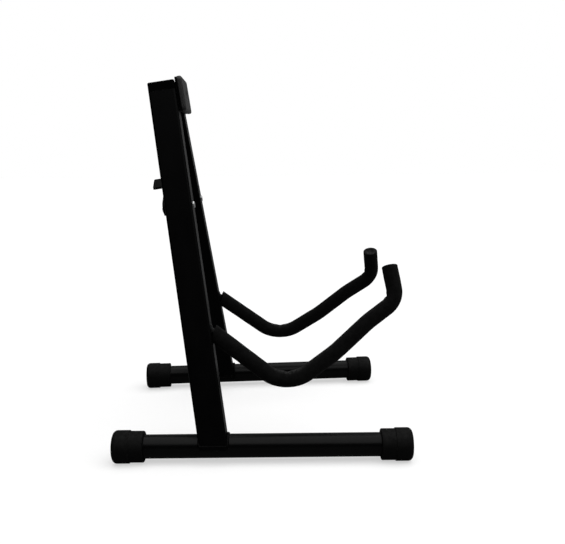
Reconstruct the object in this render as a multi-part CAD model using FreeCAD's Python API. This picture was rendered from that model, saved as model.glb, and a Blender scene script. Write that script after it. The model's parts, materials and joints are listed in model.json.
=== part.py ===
import FreeCAD, Part
import math
import os

# Folding A-frame stand for a guitar: two tube legs hang on rivets from a padded head plate, each
# leg is welded to its own base tube and carries a foam-covered arm, and two riveted links behind
# the legs hold them apart.
#
# Millimetres, +Z up. The front of the stand faces -Y, X = 0 is its plane of symmetry, and the
# origin is on the floor below the middle of the base. Three frames are used:
#   row frame   the one just described;
#   head frame  origin midway between the hinge rivets, leaning back with the legs' plane, so that
#               -Y is square to the head plate and Z runs up the middle of the A;
#   leg frame   origin at a leg's hinge rivet, +X outwards, -Y forwards, -Z down the leg.

Vector = FreeCAD.Vector

# Stance
LEAN_DEG = 8.1             # the legs' plane, back from vertical
SPLAY_DEG = 16.1           # each leg, out from the middle of that plane
HINGE_HALF_SPACING = 31.2  # hinge rivet to the plane of symmetry

# Legs
LEG_WIDTH = 28.0           # across, left to right
LEG_DEPTH = 30.0           # front to back
LEG_WALL = 1.8
LEG_CORNER = 2.5
LEG_DROP = 380.0           # hinge rivet to the base tube's axis, along the leg
LEG_ABOVE_HINGE = 20.5     # hinge rivet to the top of the leg's end plug
PLUG_HEAD = 11.0           # visible height of the end plug
PLUG_SPIGOT = 14.0
PLUG_ROUNDING = 1.0
PLUG_BORE_GAP = 1.5        # between the hinge rivet's tail and the hollow in the plug

# Base tubes and their end caps
TUBE_RADIUS = 12.5
TUBE_WALL = 1.5
BASE_LENGTH = 315.0        # over both end caps
LEG_BEHIND_MIDDLE = 51.0   # leg to the middle of the base tube, along the tube
CAP_RADIUS = 17.3
CAP_COLLAR_RADIUS = 16.4
CAP_LENGTH = 33.0
CAP_COLLAR_LENGTH = 15.0
CAP_END_WALL = 3.0
CAP_ROUNDING = 5.0
CAP_FLAT = 0.3             # depth of the flat that each cap rests on

# Arms, as corners of the rod's centre line in the leg frame: forwards of the leg's middle, below
# the hinge, inwards of the leg's middle, and the radius of the bend at that corner
ROD_RADIUS = 4.0
FOAM_RADIUS = 9.0
ARM_TOE_IN = 0.085         # inwards per millimetre forwards
ARM_CORNERS = (
    (15.0, 260.7, 0.0),
    (84.9, 332.7, 39.0),
    (143.3, 302.9, 150.0),
    (183.4, 276.2, 100.0),
    (219.4, 257.0, 22.0),
    (219.4, 218.2, 0.0),
)
ARM_TIP_LEAN_IN = 6.0      # further inwards at the very tip
ROD_SHORT_OF_TIP = 6.0
ROD_INTO_LEG = 13.5        # extra bar at the leg, before it is cut off flush
FOAM_CUT_DEG = 27.5        # slant of the foam's lower end, from the leg's front face
FOAM_CUT_FORWARD = 23.0    # where that slanted cut crosses the foam's upper side
ARM_WELD_REACH = 1.8
ARM_WELD_HEIGHT = 1.5
ARM_WELD_LENGTH = 36.0     # bar along the rod that the bead is cut from

# Head: washers, plate and rubber pad, stacked forwards from the legs' front faces
WASHER_GAP = 0.1
HINGE_WASHER = 0.5
HINGE_WASHER_RADIUS = 8.0
PLATE_THICKNESS = 2.5
PAD_THICKNESS = 5.2
PAD_WIDTH = 76.0
PAD_HEIGHT = 38.5
PAD_ABOVE_LEG = 6.9
PAD_CORNER = 4.5
PAD_FRONT_ROUNDING = 2.0
PLATE_INSET = 0.5

# Hinge rivets
RIVET_ROUNDING = 1.1       # on the rim of every domed rivet head
HINGE_SHANK_RADIUS = 3.0
HINGE_HEAD_RADIUS = 5.5
HINGE_HEAD = 1.8
HINGE_TAIL_RADIUS = 5.0
HINGE_TAIL = 1.9
AXIAL_GAP = 0.3
RUNNING_GAP = 0.05

# Pad screw and its nut
SCREW_RADIUS = 2.5
SCREW_HEAD_RADIUS = 4.5
SCREW_HEAD = 2.2
SCREW_ROUNDING = 1.0
SCREW_HEAD_GAP = 1.0       # between the screw's head and its counterbore
SCREW_UNDER_HEAD = 1.4     # rubber left under the screw's head
SCREW_PAST_NUT = 1.5
SCREW_SLOT_WIDTH = 1.1
SCREW_SLOT_LENGTH = 5.2
SCREW_SLOT_DEPTH = 1.4
NUT_ACROSS_FLATS = 8.0
NUT_THICKNESS = 4.0
NUT_SIDES = 6

# Spreader links behind the legs
LINK_BELOW_HINGE = 119.8   # hinge rivet to link rivet, along the leg
LINK_RISE_DEG = 20.0       # each link, up towards the middle
LINK_WIDTH = 15.0
LINK_THICKNESS = 2.5
LINK_GAP = 0.3
LINK_RIVET_RADIUS = 2.5
LINK_HEAD_RADIUS = 3.8
LINK_HEAD = 1.8
LINK_TAIL = 1.0
SPACER_RADIUS = 6.5
CENTRE_EYE_RADIUS = 9.0
SLOTTED_EYE_RADIUS = 11.5
SLOT_RADIUS = 3.8
SLOT_TRAVEL = 6.4          # room that the open centre pivot needs while the links fold
SLOT_SLANT_DEG = 40.0
CENTRE_HEAD_RADIUS = 4.8
CENTRE_WASHER_RADIUS = 8.0
CENTRE_WASHER = 1.0
TAB_START = 31.0           # finger tab, along the link from its leg rivet
TAB_LENGTH = 26.0
TAB_RISE = 6.8             # the lug that carries it, above the link's upper edge
TAB_REACH = 10.8           # behind the link's rear face
TAB_THICKNESS = 2.5
TAB_CORNER = 2.0

# Weld beads at the feet
FOOT_WELD_RADIUS = 2.2
FOOT_WELD_OFFSET = 13.1    # bead's centre from the base tube's axis

# Worked out from the sizes above
LEAN = math.radians(LEAN_DEG)
SPLAY = math.radians(SPLAY_DEG)
AXIS_HEIGHT = CAP_RADIUS - CAP_FLAT
TUBE_PITCH = math.atan(math.tan(LEAN) / math.cos(SPLAY))
TUBE_DIRECTION = Vector(0, -math.cos(TUBE_PITCH), -math.sin(TUBE_PITCH))
FOOT = Vector(0, 0, -LEG_DROP)
HINGE_Z = AXIS_HEIGHT + LEG_DROP * math.cos(SPLAY) * math.cos(LEAN)
HINGE_Y = LEG_BEHIND_MIDDLE + LEG_DROP * math.cos(SPLAY) * math.sin(LEAN)
LEG_FRONT = LEG_DEPTH / 2
WASHER_BACK = LEG_FRONT + WASHER_GAP
PLATE_BACK = WASHER_BACK + HINGE_WASHER
PLATE_FRONT = PLATE_BACK + PLATE_THICKNESS
PAD_FRONT = PLATE_FRONT + PAD_THICKNESS
LINK_X = HINGE_HALF_SPACING + LINK_BELOW_HINGE * math.sin(SPLAY)
LINK_Z = -LINK_BELOW_HINGE * math.cos(SPLAY)
LINK_LENGTH = LINK_X / math.cos(math.radians(LINK_RISE_DEG))
FRONT_LINK_FACE = -LEG_FRONT - LINK_GAP
REAR_LINK_FACE = FRONT_LINK_FACE - LINK_THICKNESS - LINK_GAP - LINK_GAP
FORWARDS = Vector(0, -1, 0)
FAR = 600.0                # longer than the whole stand, for the tools of a cut
OVERSHOOT = 1.0            # past a face, for the tools of a short cut
PARALLEL = 0.999           # cosine above which two directions count as the same
TOLERANCE = 0.01


def head_to_row(shape):
    """Move a shape from the head frame to the row frame."""
    turn = FreeCAD.Rotation(Vector(1, 0, 0), -LEAN_DEG)
    return shape.transformed(FreeCAD.Placement(Vector(0, HINGE_Y, HINGE_Z), turn).toMatrix(), True)


def leg_to_row(shape):
    """Move a shape from the right leg's frame to the row frame."""
    turn = FreeCAD.Rotation(Vector(0, 1, 0), -SPLAY_DEG)
    in_head = FreeCAD.Placement(Vector(HINGE_HALF_SPACING, 0, 0), turn)
    return head_to_row(shape.transformed(in_head.toMatrix(), True))


def link_to_head(shape):
    """Move a shape from the left link's frame to the head frame."""
    turn = FreeCAD.Rotation(Vector(0, 1, 0), -LINK_RISE_DEG)
    return shape.transformed(FreeCAD.Placement(Vector(-LINK_X, 0, LINK_Z), turn).toMatrix(), True)


def mirrored(shape):
    """Give the left-hand twin of a right-hand shape."""
    return shape.mirror(Vector(0, 0, 0), Vector(1, 0, 0))


def disc(radius, back, front, x=0.0, z=0.0):
    """Make a round bar along Y whose ends are given as distances forwards."""
    return Part.makeCylinder(radius, front - back, Vector(x, -back, z), FORWARDS)


def slab(width, height, back, front, corner, z=0.0):
    """Make a plate square to Y with rounded corners, centred on X = 0."""
    box = Part.makeBox(width, front - back, height, Vector(-width / 2, -front, z - height / 2))
    return box.makeFillet(corner, edges_along(box, Vector(0, 1, 0)))


def edges_along(shape, direction):
    """List a shape's straight edges that run along a direction."""
    found = []
    for edge in shape.Edges:
        run = edge.Vertexes[-1].Point - edge.Vertexes[0].Point
        if run.Length > 0 and abs(run.normalize().dot(direction)) > PARALLEL:
            found.append(edge)
    return found


def space_beyond(point, normal):
    """Make a block that fills the side of a plane that its normal points to."""
    block = Part.makeBox(FAR, FAR, FAR, Vector(-FAR / 2, -FAR / 2, 0))
    turn = FreeCAD.Rotation(Vector(0, 0, 1), normal)
    return block.transformed(FreeCAD.Placement(point, turn).toMatrix(), True)


def square_bar(inset, top, bottom):
    """Make the leg's outline, inset on every side, between two heights in the leg frame."""
    width = LEG_WIDTH - 2 * inset
    depth = LEG_DEPTH - 2 * inset
    bar = Part.makeBox(width, depth, top - bottom, Vector(-width / 2, -depth / 2, bottom))
    return bar.makeFillet(LEG_CORNER - inset, edges_along(bar, Vector(0, 0, 1)))


def bent_path(corners):
    """Join corner points with straight runs and tangent arcs; each corner has its bend radius."""
    edges = []
    start = corners[0][0]
    for before, corner, after in zip(corners, corners[1:], corners[2:]):
        point, radius = corner
        inward = (point - before[0]).normalize()
        outward = (after[0] - point).normalize()
        half_turn = inward.getAngle(outward) / 2
        setback = radius * math.tan(half_turn)
        to_centre = (outward - inward).normalize()
        middle = point + to_centre * (radius / math.cos(half_turn) - radius)
        arc_start = point - inward * setback
        arc_end = point + outward * setback
        edges.append(Part.LineSegment(start, arc_start).toShape())
        edges.append(Part.Arc(arc_start, middle, arc_end).toShape())
        start = arc_end
    edges.append(Part.LineSegment(start, corners[-1][0]).toShape())
    return Part.Wire(edges)


def swept_bar(path, radius):
    """Sweep a round section along a path."""
    first = path.Edges[0]
    begin = first.Vertexes[0].Point
    section = Part.Wire(Part.Circle(begin, first.Vertexes[1].Point - begin, radius).toShape())
    return path.makePipeShell([section], True, True)


def arm_corner(out, below):
    """Place a corner of an arm's centre line in the leg frame."""
    return Vector(-ARM_TOE_IN * (out - LEG_FRONT), -out, -below)


def arm_path(short_of_tip):
    """Lay out an arm's centre line in the leg frame, from inside the leg's front wall."""
    points = [arm_corner(out, below) for out, below, _ in ARM_CORNERS]
    points[-1] = points[-1] + Vector(-ARM_TIP_LEAN_IN, 0, 0)
    points[-1] = points[-1] + (points[-2] - points[-1]).normalize() * short_of_tip
    points[0] = points[0] + (points[0] - points[1]).normalize() * ROD_INTO_LEG
    return bent_path([(point, corner[2]) for point, corner in zip(points, ARM_CORNERS)])


def bar_from_leg(short_of_tip, radius):
    """Make a bent bar along the arm, cut off flush with the leg's front face."""
    behind_face = space_beyond(Vector(0, -LEG_FRONT, 0), Vector(0, 1, 0))
    return swept_bar(arm_path(short_of_tip), radius).cut(behind_face)


def arm_weld(rod):
    """Make the bead where the rod meets the leg's front face."""
    root, bend = [arm_corner(out, below) for out, below, _ in ARM_CORNERS[:2]]
    along = (bend - root).normalize()
    start = root - along * ARM_WELD_LENGTH / 2
    collar = Part.makeCylinder(ROD_RADIUS + ARM_WELD_REACH, ARM_WELD_LENGTH, start, along)
    corner = Vector(-FAR / 2, -LEG_FRONT - ARM_WELD_HEIGHT, -FAR)
    layer = Part.makeBox(FAR, ARM_WELD_HEIGHT, FAR, corner)
    return collar.common(layer).cut(rod)


def arm_foam(rod, weld):
    """Make the foam sleeve over the rod, closed at the tip and cut on a slant by the leg."""
    slant = math.radians(FOAM_CUT_DEG)
    backwards = Vector(0, math.cos(slant), math.sin(slant))
    upper_side = Vector(0, -FOAM_CUT_FORWARD, -ARM_CORNERS[0][1] + FOAM_RADIUS)
    sleeve = bar_from_leg(0.0, FOAM_RADIUS).cut(space_beyond(upper_side, backwards))
    return sleeve.cut(rod).cut(weld)


def hinge_parts():
    """Make what the right leg hangs on: the rivet and washer, in the leg frame."""
    tail_front = LEG_FRONT - LEG_WALL - AXIAL_GAP
    shank = disc(HINGE_SHANK_RADIUS, tail_front - HINGE_TAIL, PLATE_FRONT)
    head = disc(HINGE_HEAD_RADIUS, PLATE_FRONT, PLATE_FRONT + HINGE_HEAD)
    head = head.makeFillet(RIVET_ROUNDING, [head.Edges[0]])
    rivet = shank.fuse([head, disc(HINGE_TAIL_RADIUS, tail_front - HINGE_TAIL, tail_front)])
    washer = disc(HINGE_WASHER_RADIUS, WASHER_BACK, PLATE_BACK)
    washer = washer.cut(disc(HINGE_SHANK_RADIUS, 0, PLATE_FRONT))
    return {"hinge_rivet": rivet.removeSplitter(), "hinge_washer": washer}


def link_rivet(behind):
    """Make the long rivet through a leg and a link whose rear face is this far behind."""
    front_head = disc(LINK_HEAD_RADIUS, LEG_FRONT, LEG_FRONT + LINK_HEAD)
    front_head = front_head.makeFillet(RIVET_ROUNDING, [front_head.Edges[0]])
    tail_face = behind - WASHER_GAP
    shank = disc(LINK_RIVET_RADIUS, tail_face, LEG_FRONT)
    tail = disc(LINK_HEAD_RADIUS, tail_face - LINK_TAIL, tail_face)
    rivet = shank.fuse([front_head, tail]).removeSplitter()
    return rivet.translated(Vector(0, 0, -LINK_BELOW_HINGE))


def base_bar(radius, start, end):
    """Make a round bar on the base tube's axis, between two distances forwards of the leg."""
    return Part.makeCylinder(radius, end - start, FOOT + TUBE_DIRECTION * start, TUBE_DIRECTION)


def leg_tube(base):
    """Make the leg: a square tube saddled over the base tube, drilled for its rivets."""
    top = LEG_ABOVE_HINGE - PLUG_HEAD
    bottom = -LEG_DROP - TUBE_RADIUS
    leg = square_bar(0.0, top, bottom).cut(square_bar(LEG_WALL, top, bottom))
    leg = leg.cut(base).cut(base_bar(TUBE_RADIUS, -LEG_DEPTH, LEG_DEPTH))
    leg = leg.cut(disc(HINGE_SHANK_RADIUS + RUNNING_GAP, 0, LEG_DEPTH))
    leg = leg.cut(disc(LINK_RIVET_RADIUS, -LEG_DEPTH, LEG_DEPTH, z=-LINK_BELOW_HINGE))
    down = Vector(-math.sin(SPLAY) * math.cos(LEAN), math.sin(LEAN), -math.cos(SPLAY) * math.cos(LEAN))
    return leg.cut(space_beyond(FOOT, down))


def leg_plug():
    """Make the plastic plug that closes the leg's top end."""
    seat = LEG_ABOVE_HINGE - PLUG_HEAD
    head = square_bar(0.0, LEG_ABOVE_HINGE, seat)
    rim = [edge for edge in head.Edges if edge.BoundBox.ZMin > LEG_ABOVE_HINGE - TOLERANCE]
    head = head.makeFillet(PLUG_ROUNDING, rim)
    spigot = square_bar(LEG_WALL, seat, seat - PLUG_SPIGOT)
    hollow = disc(HINGE_TAIL_RADIUS + PLUG_BORE_GAP, 0, LEG_DEPTH)
    return head.fuse(spigot).removeSplitter().cut(hollow)


def base_tube():
    """Make the base tube, a cap's end wall short of the base's length at each end."""
    half = BASE_LENGTH / 2 - CAP_END_WALL
    solid = base_bar(TUBE_RADIUS, LEG_BEHIND_MIDDLE - half, LEG_BEHIND_MIDDLE + half)
    bore = base_bar(TUBE_RADIUS - TUBE_WALL, LEG_BEHIND_MIDDLE - half, LEG_BEHIND_MIDDLE + half)
    return solid.cut(bore)


def base_cap(side):
    """Make a rubber end cap: side is 1 for the front end and -1 for the rear."""
    collar = Part.makeCylinder(CAP_COLLAR_RADIUS, CAP_COLLAR_LENGTH)
    cup_length = CAP_LENGTH - CAP_COLLAR_LENGTH
    cup = Part.makeCylinder(CAP_RADIUS, cup_length, Vector(0, 0, CAP_COLLAR_LENGTH))
    end_edges = [edge for edge in cup.Edges if edge.BoundBox.ZMin > CAP_LENGTH - TOLERANCE]
    cup = cup.makeFillet(CAP_ROUNDING, end_edges)
    bore = Part.makeCylinder(TUBE_RADIUS, CAP_LENGTH - CAP_END_WALL)
    cap = collar.fuse(cup).removeSplitter().cut(bore)
    outwards = TUBE_DIRECTION * side
    mouth = FOOT + TUBE_DIRECTION * (LEG_BEHIND_MIDDLE + side * (BASE_LENGTH / 2 - CAP_LENGTH))
    turn = FreeCAD.Rotation(Vector(0, 0, 1), outwards)
    return cap.transformed(FreeCAD.Placement(mouth, turn).toMatrix(), True)


def foot_weld(leg, base):
    """Make the bead round the joint of the leg and the base tube."""
    across = Vector(1, 0, 0)
    reach = LEG_DEPTH / 2
    beads = []
    for side in (-1, 1):
        middle = FOOT + TUBE_DIRECTION * (side * reach)
        beads.append(Part.makeTorus(FOOT_WELD_OFFSET, FOOT_WELD_RADIUS, middle, TUBE_DIRECTION))
        start = FOOT + across * (side * FOOT_WELD_OFFSET) - TUBE_DIRECTION * reach
        beads.append(Part.makeCylinder(FOOT_WELD_RADIUS, 2 * reach, start, TUBE_DIRECTION))
    up = across.cross(TUBE_DIRECTION)
    up = up if up.z > 0 else up * -1
    below = space_beyond(FOOT - up * FOOT_WELD_RADIUS, up * -1)
    inside = square_bar(0.0, 0.0, -LEG_DROP - 2 * TUBE_RADIUS).cut(space_beyond(FOOT, up * -1))
    weld = beads[0].fuse(beads[1:]).cut(below).cut(base).cut(inside)
    return weld.cut(base_bar(TUBE_RADIUS, -LEG_DEPTH, LEG_DEPTH)).cut(leg).removeSplitter()


def strip(length, eye_radius, front, eye_x, eye_z):
    """Make a flat link in the link frame: round at the leg, an eye near the middle pivot."""
    back = front - LINK_THICKNESS
    bar = Part.makeBox(length, LINK_THICKNESS, LINK_WIDTH, Vector(0, -front, -LINK_WIDTH / 2))
    ends = [disc(LINK_WIDTH / 2, back, front), disc(eye_radius, back, front, eye_x, eye_z)]
    hole = disc(LINK_RIVET_RADIUS + RUNNING_GAP, back - OVERSHOOT, front + OVERSHOOT)
    return bar.fuse(ends).removeSplitter().cut(hole)


def right_link():
    """Make the rear link, mirrored: the centre rivet is fixed in its eye."""
    link = strip(LINK_LENGTH, CENTRE_EYE_RADIUS, REAR_LINK_FACE, LINK_LENGTH, 0.0)
    return link.cut(disc(LINK_RIVET_RADIUS, REAR_LINK_FACE - LEG_DEPTH, 0, LINK_LENGTH))


def finger_tab():
    """Make the tab that is bent back from a lug on the front link's upper edge."""
    root = -FRONT_LINK_FACE
    depth = LINK_THICKNESS + TAB_REACH
    top = LINK_WIDTH / 2 + TAB_RISE
    tab = Part.makeBox(TAB_LENGTH, depth, TAB_THICKNESS, Vector(TAB_START, root, top - TAB_THICKNESS))
    upright = edges_along(tab, Vector(0, 0, 1))
    tips = [edge for edge in upright if edge.Vertexes[0].Point.y > root + depth / 2]
    lug = Part.makeBox(TAB_LENGTH, LINK_THICKNESS, top, Vector(TAB_START, root, 0))
    return tab.makeFillet(TAB_CORNER, tips).fuse(lug)


def left_link():
    """Make the front link: its slot gives the open centre pivot its clearance."""
    slant = math.radians(SLOT_SLANT_DEG)
    slot_x = LINK_LENGTH - SLOT_TRAVEL * math.cos(slant)
    slot_z = SLOT_TRAVEL * math.sin(slant)
    eye_x = (LINK_LENGTH + slot_x) / 2
    link = strip(eye_x, SLOTTED_EYE_RADIUS, FRONT_LINK_FACE, eye_x, slot_z / 2)
    back = FRONT_LINK_FACE - LINK_THICKNESS - OVERSHOOT
    front = FRONT_LINK_FACE + OVERSHOOT
    middle = Part.makeBox(SLOT_TRAVEL, front - back, 2 * SLOT_RADIUS, Vector(0, -front, -SLOT_RADIUS))
    turn = FreeCAD.Rotation(Vector(0, 1, 0), SLOT_SLANT_DEG)
    middle = middle.transformed(FreeCAD.Placement(Vector(slot_x, 0, slot_z), turn).toMatrix(), True)
    ends = [disc(SLOT_RADIUS, back, front, LINK_LENGTH), disc(SLOT_RADIUS, back, front, slot_x, slot_z)]
    return link.fuse(finger_tab()).removeSplitter().cut(middle.fuse(ends))


def centre_rivet_and_washer():
    """Make the rivet that joins the links, fixed in the right one, and its front washer."""
    washer_back = FRONT_LINK_FACE + LINK_GAP
    washer_front = washer_back + CENTRE_WASHER
    rear = REAR_LINK_FACE - LINK_THICKNESS
    shank = disc(LINK_RIVET_RADIUS, rear, washer_front)
    head = disc(CENTRE_HEAD_RADIUS, washer_front, washer_front + LINK_HEAD)
    head = head.makeFillet(RIVET_ROUNDING, [head.Edges[0]])
    rivet = shank.fuse([head, disc(LINK_HEAD_RADIUS, rear - LINK_TAIL, rear)]).removeSplitter()
    washer = disc(CENTRE_WASHER_RADIUS, washer_back, washer_front)
    washer = washer.cut(disc(LINK_RIVET_RADIUS, rear, washer_front + OVERSHOOT))
    return {"centre_rivet": rivet, "centre_washer": washer}


def head_parts():
    """Make the hinge plate, its rubber pad, and the screw and nut that hold the pad."""
    middle = LEG_ABOVE_HINGE * math.cos(SPLAY) + PAD_ABOVE_LEG - PAD_HEIGHT / 2
    hinges = (-HINGE_HALF_SPACING, HINGE_HALF_SPACING)
    plate_width = PAD_WIDTH - 2 * PLATE_INSET
    plate_height = PAD_HEIGHT - 2 * PLATE_INSET
    plate_corner = PAD_CORNER - PLATE_INSET
    plate = slab(plate_width, plate_height, PLATE_BACK, PLATE_FRONT, plate_corner, middle)
    pad = slab(PAD_WIDTH, PAD_HEIGHT, PLATE_FRONT, PAD_FRONT, PAD_CORNER, middle)
    front_edges = [edge for edge in pad.Edges if edge.BoundBox.YMax < -PAD_FRONT + TOLERANCE]
    pad = pad.makeFillet(PAD_FRONT_ROUNDING, front_edges)
    pocket_radius = HINGE_HEAD_RADIUS + AXIAL_GAP
    pocket_front = PLATE_FRONT + HINGE_HEAD + AXIAL_GAP
    for x in hinges:
        plate = plate.cut(disc(HINGE_SHANK_RADIUS, 0, PAD_FRONT, x))
        pad = pad.cut(disc(pocket_radius, 0, pocket_front, x))
    seat = PLATE_FRONT + SCREW_UNDER_HEAD
    shank_end = PLATE_BACK - NUT_THICKNESS - SCREW_PAST_NUT
    shank = disc(SCREW_RADIUS, shank_end, seat, z=middle)
    plate = plate.cut(shank)
    counterbore = disc(SCREW_HEAD_RADIUS + SCREW_HEAD_GAP, seat, PAD_FRONT + OVERSHOOT, z=middle)
    pad = pad.cut(shank).cut(counterbore)
    screw_head = disc(SCREW_HEAD_RADIUS, seat, seat + SCREW_HEAD, z=middle)
    screw_head = screw_head.makeFillet(SCREW_ROUNDING, [screw_head.Edges[0]])
    slot_back = seat + SCREW_HEAD - SCREW_SLOT_DEPTH
    screw = shank.fuse(screw_head).removeSplitter()
    for width, height in ((SCREW_SLOT_WIDTH, SCREW_SLOT_LENGTH), (SCREW_SLOT_LENGTH, SCREW_SLOT_WIDTH)):
        corner = Vector(-width / 2, -PAD_FRONT, middle - height / 2)
        screw = screw.cut(Part.makeBox(width, PAD_FRONT - slot_back, height, corner))
    sixth = 2 * math.pi / NUT_SIDES
    reach = NUT_ACROSS_FLATS / 2 / math.cos(sixth / 2)
    outline = []
    for step in range(NUT_SIDES + 1):
        x = reach * math.cos(step * sixth)
        outline.append(Vector(x, -PLATE_BACK, middle + reach * math.sin(step * sixth)))
    nut = Part.Face(Part.makePolygon(outline)).extrude(Vector(0, NUT_THICKNESS, 0)).cut(shank)
    return {"hinge_plate": plate, "top_pad": pad, "pad_screw": screw, "pad_nut": nut}


def leg_parts():
    """Make everything that one leg carries, as right-hand shapes in the leg frame."""
    base = base_tube()
    leg = leg_tube(base)
    rod = bar_from_leg(ROD_SHORT_OF_TIP, ROD_RADIUS)
    weld = arm_weld(rod)
    return {
        "leg_tube": leg,
        "leg_plug": leg_plug(),
        "base_tube": base,
        "foot_weld": foot_weld(leg, base),
        "front_cap": base_cap(1),
        "rear_cap": base_cap(-1),
        "arm_rod": rod,
        "arm_weld": weld,
        "arm_foam": arm_foam(rod, weld),
    }


def resting(name, shape):
    """Give a cap the flat that it rests on: everything below the floor is cut away."""
    if not name.endswith("_cap"):
        return shape
    return shape.cut(space_beyond(Vector(0, 0, 0), Vector(0, 0, -1)))


def build():
    """Make every node in the row frame."""
    nodes = {name: head_to_row(shape) for name, shape in head_parts().items()}
    for name, shape in {**leg_parts(), **hinge_parts()}.items():
        placed = resting(name, leg_to_row(shape))
        nodes["right_" + name] = placed
        nodes["left_" + name] = mirrored(placed)
    spacer = disc(SPACER_RADIUS, REAR_LINK_FACE + WASHER_GAP, -LEG_FRONT, z=-LINK_BELOW_HINGE)
    spacer = spacer.cut(disc(LINK_RIVET_RADIUS, -LEG_DEPTH, LEG_DEPTH, z=-LINK_BELOW_HINGE))
    nodes["right_link_spacer"] = leg_to_row(spacer)
    nodes["left_link_rivet"] = mirrored(leg_to_row(link_rivet(FRONT_LINK_FACE - LINK_THICKNESS)))
    nodes["right_link_rivet"] = leg_to_row(link_rivet(REAR_LINK_FACE - LINK_THICKNESS))
    nodes["left_link"] = head_to_row(link_to_head(left_link()))
    nodes["right_link"] = head_to_row(mirrored(link_to_head(right_link())))
    centre = Vector(0, 0, LINK_Z + LINK_LENGTH * math.sin(math.radians(LINK_RISE_DEG)))
    for name, shape in centre_rivet_and_washer().items():
        nodes[name] = head_to_row(shape.translated(centre))
    return nodes


os.makedirs("parts", exist_ok=True)
for node, solid in build().items():
    solid.exportStep(f"parts/{node}.step")
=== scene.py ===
import functools
import json
import logging
import math
from abc import ABC, abstractmethod
from collections.abc import Iterable, Sequence
from dataclasses import dataclass, field
from enum import Enum
from typing import ClassVar

import bmesh
import bpy
from bmesh.types import BMEdge, BMesh, BMFace, BMVert
from mathutils import Matrix, Vector, noise


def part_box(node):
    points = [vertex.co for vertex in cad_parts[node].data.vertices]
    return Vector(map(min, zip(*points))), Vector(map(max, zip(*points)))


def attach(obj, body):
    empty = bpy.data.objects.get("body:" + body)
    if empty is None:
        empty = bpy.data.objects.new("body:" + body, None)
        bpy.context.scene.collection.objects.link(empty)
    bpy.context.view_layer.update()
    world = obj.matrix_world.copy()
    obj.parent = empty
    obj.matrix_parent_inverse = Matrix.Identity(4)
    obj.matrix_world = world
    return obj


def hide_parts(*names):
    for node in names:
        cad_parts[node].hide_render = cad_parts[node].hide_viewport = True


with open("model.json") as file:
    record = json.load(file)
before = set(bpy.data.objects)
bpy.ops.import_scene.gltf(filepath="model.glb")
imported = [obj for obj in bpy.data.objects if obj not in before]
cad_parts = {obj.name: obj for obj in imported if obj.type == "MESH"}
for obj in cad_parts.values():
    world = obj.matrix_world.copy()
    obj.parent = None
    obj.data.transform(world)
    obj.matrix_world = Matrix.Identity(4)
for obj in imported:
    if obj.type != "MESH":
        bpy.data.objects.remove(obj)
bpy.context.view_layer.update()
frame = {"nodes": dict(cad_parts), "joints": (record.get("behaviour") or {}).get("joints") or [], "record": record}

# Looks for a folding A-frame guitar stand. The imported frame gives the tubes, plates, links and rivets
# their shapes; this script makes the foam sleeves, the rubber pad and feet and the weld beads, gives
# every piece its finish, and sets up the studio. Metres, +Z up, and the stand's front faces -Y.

log = logging.getLogger("guitar_stand")

MM = 0.001
MERGE_DISTANCE = 1e-6
ROUND_SEGMENTS = 6
RIGHT = Vector((1, 0, 0)).freeze()
UP = Vector((0, 0, 1)).freeze()

Colour = tuple[float, float, float]
Rgba = tuple[float, float, float, float]
Socket = bpy.types.NodeSocket
Sockets = bpy.types.bpy_prop_collection
Value = Socket | float | Rgba

BLACK: Colour = (0.0, 0.0, 0.0)
WHITE: Colour = (1.0, 1.0, 1.0)


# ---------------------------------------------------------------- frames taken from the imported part


class Side(Enum):
    """Which half of the stand a piece is on."""

    LEFT = "left"
    RIGHT = "right"


class Slot(Enum):
    """The record's material slots."""

    SATIN = "satin_black_paint"
    GLOSS = "gloss_black_paint"
    RUBBER = "black_rubber"
    FOAM = "black_foam"
    PLASTIC = "black_plastic"
    ZINC = "zinc_steel"


def joint_point(name: str) -> Vector:
    """Give a joint's place.

    Args:
        name: The joint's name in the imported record.

    Returns:
        The point in the row frame.
    """
    found = next(joint for joint in frame["joints"] if joint["name"] == name)
    return Vector(found["pos_m"])


def backwards() -> Vector:
    """Give the direction square to the legs' plane, towards the back."""
    axis = Vector(frame["joints"][0]["axis"]).normalized()
    return axis if axis.y > 0 else -axis


def frame_matrix(origin: Vector, x_axis: Vector, y_axis: Vector, z_axis: Vector) -> Matrix:
    """Build the matrix from a frame with this origin and these axes to the row frame."""
    turn = Matrix((x_axis, y_axis, z_axis)).transposed().to_4x4()
    return Matrix.Translation(origin) @ turn


def leg_frame(side: Side) -> Matrix:
    """Find one leg's own frame: origin at its hinge, X outwards, Y backwards, Z up the leg.

    The left leg's frame is the right leg's mirror image, so a piece is made once and serves both.

    Args:
        side: Which leg.

    Returns:
        The matrix from the leg's frame to the row frame.
    """
    hinge = joint_point(f"{side.value}_leg_fold")
    up = (hinge - joint_point(f"{side.value}_link_pivot")).normalized()
    back = backwards()
    outwards = back.cross(up)
    if side is Side.LEFT:
        outwards = -outwards
    return frame_matrix(hinge, outwards, back, up)


def head_frame() -> Matrix:
    """Find the head's frame: origin midway between the hinges, X to the right, Y backwards.

    Returns:
        The matrix from the head's frame to the row frame.
    """
    hinges = [joint_point(f"{side.value}_leg_fold") for side in Side]
    back = backwards()
    return frame_matrix((hinges[0] + hinges[1]) / 2, RIGHT, back, RIGHT.cross(back))


def extent(node: str, to_row: Matrix) -> tuple[Vector, Vector]:
    """Measure a CAD node in another frame.

    Args:
        node: The node's name.
        to_row: The matrix from that frame to the row frame.

    Returns:
        The lowest and the highest corner in that frame.
    """
    from_row = to_row.inverted()
    points = [from_row @ vertex.co for vertex in frame["nodes"][node].data.vertices]
    low = Vector([min(point[i] for point in points) for i in range(3)])
    high = Vector([max(point[i] for point in points) for i in range(3)])
    return low, high


# ---------------------------------------------------------------- mesh work that several pieces share


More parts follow.
